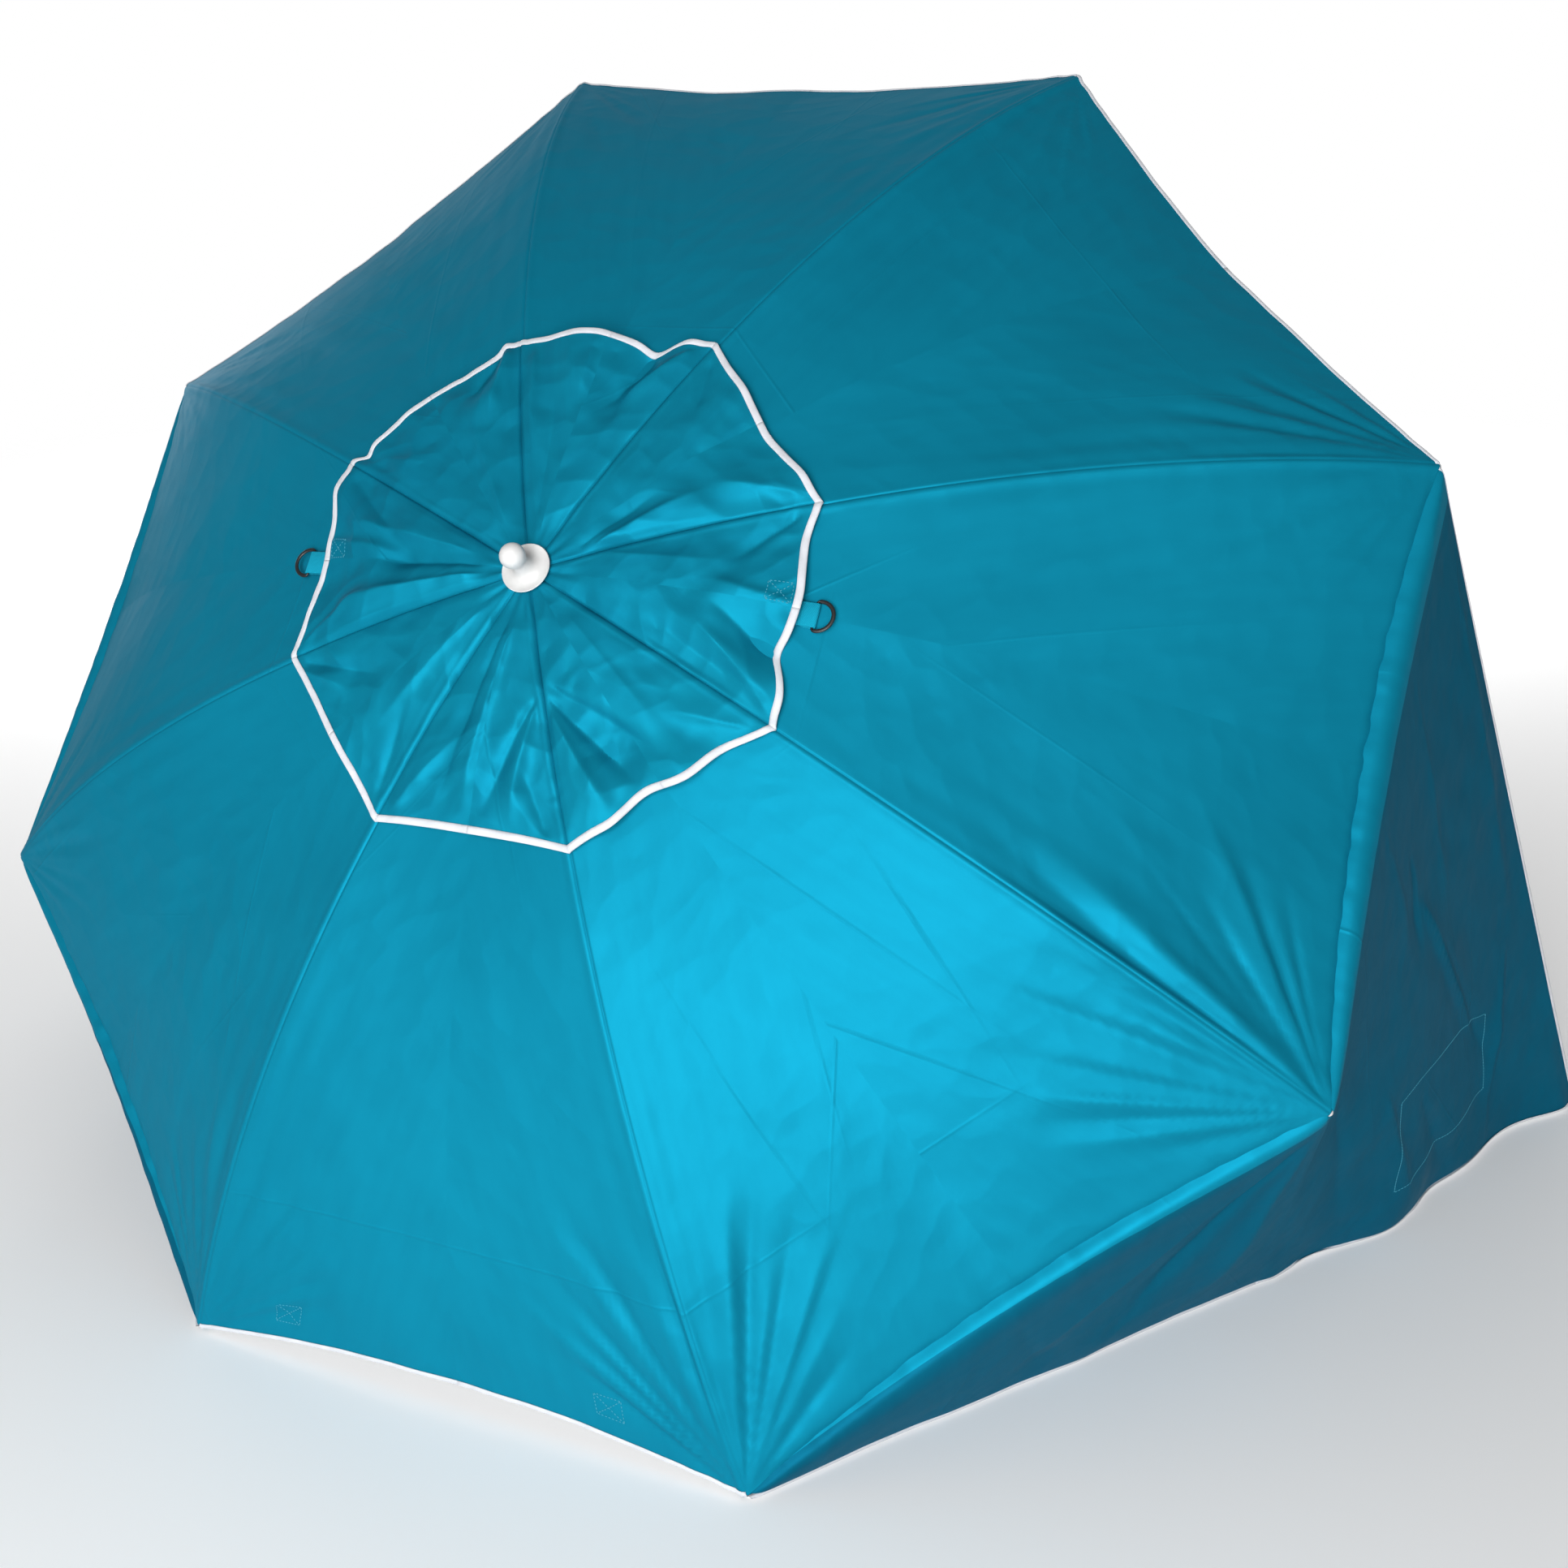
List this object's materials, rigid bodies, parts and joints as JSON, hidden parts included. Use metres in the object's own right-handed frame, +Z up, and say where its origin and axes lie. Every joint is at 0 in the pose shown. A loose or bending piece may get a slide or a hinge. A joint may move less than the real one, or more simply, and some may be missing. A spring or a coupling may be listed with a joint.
{
  "type": "beach umbrella",
  "caption": "Beach umbrella with vent cap and side walls, leaning as a low sun shelter on two rib tips and its telescopic pole's foot.",
  "frame": {"origin": "foot of the pole: centre of the flat end of the spike", "axes": "+Z up from the ground, the apex leans towards -Y, +X to the right across the canopy's width, halves mirrored about X = 0"},
  "size_m": [2.3756, 1.5693, 1.4965],
  "materials": {
    "canopy_fabric": "satin polyester, silver coated inside",
    "wall_fabric": "satin polyester, silver coated inside",
    "webbing": "woven polypropylene",
    "white_plastic": "moulded, semi-matt",
    "black_plastic": "moulded, semi-matt",
    "grey_plastic": "moulded, matt",
    "glass_fibre": "pultruded rod",
    "zinc_steel": "zinc plated",
    "painted_tube": "white powder coat"
  },
  "bodies": {
    "lower_pole": {"lower_pole": "painted_tube", "sand_spike": "grey_plastic"},
    "upper_pole": {"upper_pole": "painted_tube", "pole_clamp": "black_plastic", "crown_hub": "black_plastic", "finial": "white_plastic", "vent_cap": "canopy_fabric"},
    "clamp_screw": {"clamp_screw": "black_plastic"},
    "runner": {"runner": "black_plastic"},
    "runner_catch": {"runner_catch": "zinc_steel"},
    "rib_1": {"rib_1": "glass_fibre", "rib_joint_1": "black_plastic", "rib_tip_1": "white_plastic", "canopy_sector_1": "canopy_fabric"},
    "rib_2": {"rib_2": "glass_fibre", "rib_joint_2": "black_plastic", "rib_tip_2": "white_plastic", "canopy_sector_2": "canopy_fabric"},
    "rib_3": {"rib_3": "glass_fibre", "rib_joint_3": "black_plastic", "rib_tip_3": "white_plastic", "canopy_sector_3": "canopy_fabric"},
    "rib_4": {"rib_4": "glass_fibre", "rib_joint_4": "black_plastic", "rib_tip_4": "white_plastic", "canopy_sector_4": "canopy_fabric"},
    "rib_5": {"rib_5": "glass_fibre", "rib_joint_5": "black_plastic", "rib_tip_5": "white_plastic", "canopy_sector_5": "canopy_fabric"},
    "rib_6": {"rib_6": "glass_fibre", "rib_joint_6": "black_plastic", "rib_tip_6": "white_plastic", "canopy_sector_6": "canopy_fabric"},
    "rib_7": {"rib_7": "glass_fibre", "rib_joint_7": "black_plastic", "rib_tip_7": "white_plastic", "canopy_sector_7": "canopy_fabric"},
    "rib_8": {"rib_8": "glass_fibre", "rib_joint_8": "black_plastic", "rib_tip_8": "white_plastic", "canopy_sector_8": "canopy_fabric"},
    "stretcher_1": {"stretcher_1": "zinc_steel"},
    "stretcher_2": {"stretcher_2": "zinc_steel"},
    "stretcher_3": {"stretcher_3": "zinc_steel"},
    "stretcher_4": {"stretcher_4": "zinc_steel"},
    "stretcher_5": {"stretcher_5": "zinc_steel"},
    "stretcher_6": {"stretcher_6": "zinc_steel"},
    "stretcher_7": {"stretcher_7": "zinc_steel"},
    "stretcher_8": {"stretcher_8": "zinc_steel"},
    "wall_front_right": {"wall_front_right": "wall_fabric", "wall_pocket_right": "wall_fabric"},
    "wall_rear_right": {"wall_rear_right": "wall_fabric"},
    "dring_strap_right": {"dring_strap_right": "webbing"},
    "dring_right": {"dring_right": "black_plastic"},
    "wall_front_left": {"wall_front_left": "wall_fabric", "wall_pocket_left": "wall_fabric"},
    "wall_rear_left": {"wall_rear_left": "wall_fabric"},
    "dring_strap_left": {"dring_strap_left": "webbing"},
    "dring_left": {"dring_left": "black_plastic"}
  },
  "joints": [
    {"name": "pole_extension", "type": "slide", "parent": "lower_pole", "child": "upper_pole", "axis": [0, -0.8045, 0.594], "range_m": [0, 0.4]},
    {"name": "clamp_screw_turn", "type": "hinge", "parent": "upper_pole", "child": "clamp_screw", "pos_m": [0, -0.53427, 0.43177], "axis": [0, 0.594, 0.8045], "range_deg": [0, 360]},
    {"name": "runner_catch_press", "type": "slide", "parent": "upper_pole", "child": "runner_catch", "axis": [-1, 0, 0], "range_m": [0, 0.0042], "stiffness_N_per_m": 900},
    {"name": "canopy_fold", "type": "hinge", "parent": "upper_pole", "child": "rib_1", "pos_m": [0.02402, -1.27906, 0.95675], "axis": [-0.3827, 0.5488, 0.7432], "range_deg": [0, 69.4], "deforming": ["canopy_sector_1", "vent_cap"]},
    {"name": "rib_2_fold", "type": "hinge", "parent": "upper_pole", "child": "rib_2", "pos_m": [0.02402, -1.29088, 0.94074], "axis": [0.3827, 0.5488, 0.7432], "range_deg": [0, 69.5], "deforming": ["canopy_sector_2"]},
    {"name": "rib_3_fold", "type": "hinge", "parent": "upper_pole", "child": "rib_3", "pos_m": [0.00995, -1.29924, 0.92942], "axis": [0.9239, 0.2273, 0.3079], "range_deg": [0, 69.5], "deforming": ["canopy_sector_3"]},
    {"name": "rib_4_fold", "type": "hinge", "parent": "upper_pole", "child": "rib_4", "pos_m": [-0.00995, -1.29924, 0.92942], "axis": [0.9239, -0.2273, -0.3079], "range_deg": [0, 69.5], "deforming": ["canopy_sector_4"]},
    {"name": "rib_5_fold", "type": "hinge", "parent": "upper_pole", "child": "rib_5", "pos_m": [-0.02402, -1.29088, 0.94074], "axis": [0.3827, -0.5488, -0.7432], "range_deg": [0, 69.5], "deforming": ["canopy_sector_5"]},
    {"name": "rib_6_fold", "type": "hinge", "parent": "upper_pole", "child": "rib_6", "pos_m": [-0.02402, -1.27906, 0.95675], "axis": [-0.3827, -0.5488, -0.7432], "range_deg": [0, 69.5], "deforming": ["canopy_sector_6"]},
    {"name": "rib_7_fold", "type": "hinge", "parent": "upper_pole", "child": "rib_7", "pos_m": [-0.00995, -1.2707, 0.96807], "axis": [-0.9239, -0.2273, -0.3079], "range_deg": [0, 69.5], "deforming": ["canopy_sector_7"]},
    {"name": "rib_8_fold", "type": "hinge", "parent": "upper_pole", "child": "rib_8", "pos_m": [0.00995, -1.2707, 0.96807], "axis": [-0.9239, 0.2273, 0.3079], "range_deg": [0, 69.5], "deforming": ["canopy_sector_8"]},
    {"name": "stretcher_1_swing", "type": "hinge", "parent": "rib_1", "child": "stretcher_1", "pos_m": [0.39138, -1.13584, 1.04015], "axis": [0.3827, -0.5488, -0.7432], "range_deg": [0, 128.1]},
    {"name": "stretcher_2_swing", "type": "hinge", "parent": "rib_2", "child": "stretcher_2", "pos_m": [0.39138, -1.32843, 0.77932], "axis": [-0.3827, -0.5488, -0.7432], "range_deg": [0, 128.1]},
    {"name": "stretcher_3_swing", "type": "hinge", "parent": "rib_3", "child": "stretcher_3", "pos_m": [0.16212, -1.46461, 0.59488], "axis": [-0.9239, -0.2273, -0.3079], "range_deg": [0, 128.1]},
    {"name": "stretcher_4_swing", "type": "hinge", "parent": "rib_4", "child": "stretcher_4", "pos_m": [-0.16212, -1.46461, 0.59488], "axis": [-0.9239, 0.2273, 0.3079], "range_deg": [0, 128.1]},
    {"name": "stretcher_5_swing", "type": "hinge", "parent": "rib_5", "child": "stretcher_5", "pos_m": [-0.39138, -1.32843, 0.77932], "axis": [-0.3827, 0.5488, 0.7432], "range_deg": [0, 128.1]},
    {"name": "stretcher_6_swing", "type": "hinge", "parent": "rib_6", "child": "stretcher_6", "pos_m": [-0.39138, -1.13584, 1.04015], "axis": [0.3827, 0.5488, 0.7432], "range_deg": [0, 128.1]},
    {"name": "stretcher_7_swing", "type": "hinge", "parent": "rib_7", "child": "stretcher_7", "pos_m": [-0.16212, -0.99966, 1.22459], "axis": [0.9239, 0.2273, 0.3079], "range_deg": [0, 128.1]},
    {"name": "stretcher_8_swing", "type": "hinge", "parent": "rib_8", "child": "stretcher_8", "pos_m": [0.16212, -0.99966, 1.22459], "axis": [0.9239, -0.2273, -0.3079], "range_deg": [0, 128.1]},
    {"name": "runner_slide", "type": "slide", "parent": "upper_pole", "child": "runner", "axis": [0, 0.8045, -0.594], "range_m": [0, 0.5925]},
    {"name": "wall_front_right_lift", "type": "hinge", "parent": "rib_2", "child": "wall_front_right", "pos_m": [0.92388, -1.24053, 0.44025], "axis": [-0.1259, -0.7041, -0.6988], "range_deg": [0, 223.2], "deforming": ["wall_front_right", "wall_pocket_right"]},
    {"name": "wall_front_left_lift", "type": "hinge", "parent": "rib_5", "child": "wall_front_left", "pos_m": [-0.92388, -1.24053, 0.44025], "axis": [-0.1259, 0.7041, 0.6988], "range_deg": [0, 223.2], "deforming": ["wall_front_left", "wall_pocket_left"]},
    {"name": "wall_rear_right_lift", "type": "hinge", "parent": "rib_2", "child": "wall_rear_right", "pos_m": [0.92388, -1.24053, 0.44025], "axis": [-0.6111, -0.3201, -0.7239], "range_deg": [0, 235.5], "deforming": ["wall_rear_right"]},
    {"name": "wall_rear_left_lift", "type": "hinge", "parent": "rib_5", "child": "wall_rear_left", "pos_m": [-0.92388, -1.24053, 0.44025], "axis": [-0.6111, 0.3201, 0.7239], "range_deg": [0, 235.5], "deforming": ["wall_rear_left"]},
    {"name": "dring_strap_right_gather", "type": "slide", "parent": "rib_1", "child": "dring_strap_right", "axis": [-0.3568, 0.443, 0.8225], "range_m": [0, 0.1084]},
    {"name": "dring_right_swing", "type": "hinge", "parent": "dring_strap_right", "child": "dring_right", "pos_m": [0.3362, -1.25878, 0.92941], "axis": [0, -0.594, -0.8045], "range_deg": [0, 120]},
    {"name": "dring_strap_left_gather", "type": "slide", "parent": "rib_6", "child": "dring_strap_left", "axis": [0.3568, 0.443, 0.8225], "range_m": [0, 0.1084]},
    {"name": "dring_left_swing", "type": "hinge", "parent": "dring_strap_left", "child": "dring_left", "pos_m": [-0.3362, -1.25878, 0.92941], "axis": [0, 0.594, 0.8045], "range_deg": [0, 120]}
  ],
  "couplings": [
    {"joint": "rib_2_fold", "follows": "canopy_fold", "ratio": 1},
    {"joint": "rib_3_fold", "follows": "canopy_fold", "ratio": 1},
    {"joint": "rib_4_fold", "follows": "canopy_fold", "ratio": 1},
    {"joint": "rib_5_fold", "follows": "canopy_fold", "ratio": 1},
    {"joint": "rib_6_fold", "follows": "canopy_fold", "ratio": 1},
    {"joint": "rib_7_fold", "follows": "canopy_fold", "ratio": 1},
    {"joint": "rib_8_fold", "follows": "canopy_fold", "ratio": 1},
    {"joint": "stretcher_1_swing", "follows": "canopy_fold", "ratio": 1.8423},
    {"joint": "stretcher_2_swing", "follows": "canopy_fold", "ratio": 1.8423},
    {"joint": "stretcher_3_swing", "follows": "canopy_fold", "ratio": 1.8423},
    {"joint": "stretcher_4_swing", "follows": "canopy_fold", "ratio": 1.8423},
    {"joint": "stretcher_5_swing", "follows": "canopy_fold", "ratio": 1.8423},
    {"joint": "stretcher_6_swing", "follows": "canopy_fold", "ratio": 1.8423},
    {"joint": "stretcher_7_swing", "follows": "canopy_fold", "ratio": 1.8423},
    {"joint": "stretcher_8_swing", "follows": "canopy_fold", "ratio": 1.8423},
    {"joint": "runner_slide", "follows": "canopy_fold", "m_per_rad": 0.48834},
    {"joint": "wall_front_right_lift", "follows": "canopy_fold", "ratio": 3.215},
    {"joint": "wall_front_left_lift", "follows": "canopy_fold", "ratio": 3.215},
    {"joint": "wall_rear_right_lift", "follows": "canopy_fold", "ratio": 3.3924},
    {"joint": "wall_rear_left_lift", "follows": "canopy_fold", "ratio": 3.3924},
    {"joint": "dring_strap_right_gather", "follows": "canopy_fold", "m_per_rad": 0.089094},
    {"joint": "dring_strap_left_gather", "follows": "canopy_fold", "m_per_rad": 0.089094}
  ]
}
